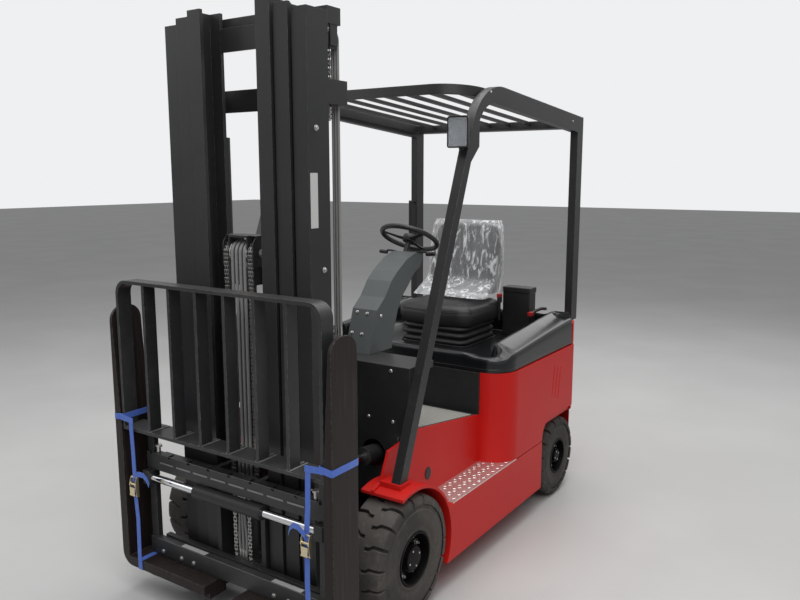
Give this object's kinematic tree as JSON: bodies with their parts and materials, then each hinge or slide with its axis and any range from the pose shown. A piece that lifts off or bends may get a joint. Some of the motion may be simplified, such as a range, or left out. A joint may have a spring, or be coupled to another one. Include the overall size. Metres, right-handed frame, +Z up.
{
  "type": "electric counterbalance forklift",
  "caption": "Sit-on electric forklift with a telescoping three-stage mast, side-shifting fork carriage, load guard, overhead guard, hinged battery hood and a steered rear axle.",
  "frame": {"origin": "on the floor, under the middle of the machine's bounding box", "axes": "+Z up, -Y forwards towards the forks, +X to the machine's left"},
  "size_m": [1.236, 2.444, 2.466],
  "materials": {
    "red_paint": "satin",
    "black_paint": "satin",
    "mast_paint": "matt",
    "axle_iron": "matt",
    "cast_red": "satin",
    "tyre": "matt",
    "rim_black": "gloss",
    "chrome_rod": "polished",
    "step_alloy": "brushed",
    "floor_mat": "ribbed",
    "dash_plastic": "matt",
    "hood_plastic": "satin",
    "seat_vinyl": "matt",
    "bellows": "matt",
    "battery_case": "matt",
    "lamp_case": "clear",
    "chain_steel": "oiled",
    "hose_rubber": "matt",
    "strap_blue": "woven",
    "pin_steel": "satin"
  },
  "bodies": {
    "chassis": {"drive_axle": "axle_iron", "steer_axle": "axle_iron", "frame": "red_paint", "battery": "battery_case", "floor_plate": "floor_mat", "step_plates": "step_alloy", "side_cover_left": "red_paint", "side_cover_right": "red_paint", "front_cover": "black_paint", "counterweight": "cast_red", "tow_pin": "pin_steel", "front_plate": "black_paint", "cowl": "dash_plastic", "overhead_guard": "black_paint", "work_lamps": "lamp_case", "pedals": "black_paint", "levers": "black_paint"},
    "front_wheel_left": {"front_tyre_left": "tyre", "front_rim_left": "rim_black"},
    "front_wheel_right": {"front_tyre_right": "tyre", "front_rim_right": "rim_black"},
    "knuckle_left": {"knuckle_left": "axle_iron"},
    "knuckle_right": {"knuckle_right": "axle_iron"},
    "rear_wheel_left": {"rear_tyre_left": "tyre", "rear_rim_left": "rim_black"},
    "rear_wheel_right": {"rear_tyre_right": "tyre", "rear_rim_right": "rim_black"},
    "steering_wheel": {"steering_wheel": "dash_plastic"},
    "hood": {"hood": "hood_plastic", "seat_base": "bellows", "seat_cushion": "seat_vinyl", "seat_back": "seat_vinyl", "tool_box": "hood_plastic"},
    "mast_outer": {"mast_outer": "mast_paint", "outer_ties": "mast_paint", "lift_barrels": "mast_paint"},
    "mast_middle": {"mast_middle": "mast_paint", "middle_ties": "mast_paint", "lift_rods": "chrome_rod", "stage_chains": "chain_steel", "stage_hoses": "hose_rubber"},
    "mast_inner": {"mast_inner": "mast_paint", "inner_ties": "mast_paint", "free_lift_barrel": "mast_paint"},
    "crosshead": {"free_lift_crosshead": "mast_paint", "free_lift_chains": "chain_steel", "free_lift_hoses": "hose_rubber"},
    "carriage": {"carriage": "mast_paint", "carriage_bars": "mast_paint", "shift_barrel": "mast_paint"},
    "fork_frame": {"fork_frame": "mast_paint", "shift_rod": "chrome_rod", "backrest": "mast_paint", "fork_left": "mast_paint", "fork_right": "mast_paint", "straps": "strap_blue"},
    "tilt_barrels": {"tilt_barrels": "mast_paint"},
    "tilt_rods": {"tilt_rods": "chrome_rod"}
  },
  "joints": [
    {"name": "front_left_spin", "type": "hinge", "parent": "chassis", "child": "front_wheel_left", "pos_m": [0.518, -0.678, 0.265], "axis": [1, 0, 0], "continuous": true},
    {"name": "front_right_spin", "type": "hinge", "parent": "chassis", "child": "front_wheel_right", "pos_m": [-0.518, -0.678, 0.265], "axis": [1, 0, 0], "continuous": true},
    {"name": "steer_left", "type": "hinge", "parent": "chassis", "child": "knuckle_left", "pos_m": [0.43, 0.867, 0.229], "axis": [0, 0, 1], "range_deg": [-65, 65]},
    {"name": "steer_right", "type": "hinge", "parent": "chassis", "child": "knuckle_right", "pos_m": [-0.43, 0.867, 0.229], "axis": [0, 0, 1], "range_deg": [-65, 65]},
    {"name": "rear_left_spin", "type": "hinge", "parent": "knuckle_left", "child": "rear_wheel_left", "pos_m": [0.522, 0.867, 0.229], "axis": [1, 0, 0], "continuous": true},
    {"name": "rear_right_spin", "type": "hinge", "parent": "knuckle_right", "child": "rear_wheel_right", "pos_m": [-0.522, 0.867, 0.229], "axis": [1, 0, 0], "continuous": true},
    {"name": "steering_wheel_turn", "type": "hinge", "parent": "chassis", "child": "steering_wheel", "pos_m": [0.15, -0.013, 1.53], "axis": [0, 0.4695, 0.8829], "range_deg": [-900, 900]},
    {"name": "hood_open", "type": "hinge", "parent": "chassis", "child": "hood", "pos_m": [0, 1.019, 1], "axis": [-1, 0, 0], "range_deg": [0, 50]},
    {"name": "mast_tilt", "type": "hinge", "parent": "chassis", "child": "mast_outer", "pos_m": [0, -0.678, 0.265], "axis": [1, 0, 0], "range_deg": [-8, 5]},
    {"name": "middle_lift", "type": "slide", "parent": "mast_outer", "child": "mast_middle", "axis": [0, 0, 1], "range_m": [0, 1.5]},
    {"name": "inner_lift", "type": "slide", "parent": "mast_middle", "child": "mast_inner", "axis": [0, 0, 1], "range_m": [0, 1.5]},
    {"name": "carriage_lift", "type": "slide", "parent": "mast_inner", "child": "carriage", "axis": [0, 0, 1], "range_m": [0, 1.34]},
    {"name": "crosshead_lift", "type": "slide", "parent": "mast_inner", "child": "crosshead", "axis": [0, 0, 1], "range_m": [0, 0.67]},
    {"name": "side_shift", "type": "slide", "parent": "carriage", "child": "fork_frame", "axis": [1, 0, 0], "range_m": [-0.1, 0.1]},
    {"name": "tilt_barrel_swing", "type": "hinge", "parent": "chassis", "child": "tilt_barrels", "pos_m": [0, -0.228, 0.6], "axis": [1, 0, 0], "range_deg": [-4, 4]},
    {"name": "tilt_rod_slide", "type": "slide", "parent": "tilt_barrels", "child": "tilt_rods", "axis": [0, -0.9948, 0.1023], "range_m": [-0.06, 0.04]}
  ],
  "couplings": [
    {"joint": "steer_right", "follows": "steer_left", "ratio": 1},
    {"joint": "steering_wheel_turn", "follows": "steer_left", "ratio": -13.8},
    {"joint": "inner_lift", "follows": "middle_lift", "ratio": 1},
    {"joint": "crosshead_lift", "follows": "carriage_lift", "ratio": 0.5},
    {"joint": "tilt_barrel_swing", "follows": "mast_tilt", "ratio": 0.345},
    {"joint": "tilt_rod_slide", "follows": "mast_tilt", "m_per_rad": 0.382}
  ]
}
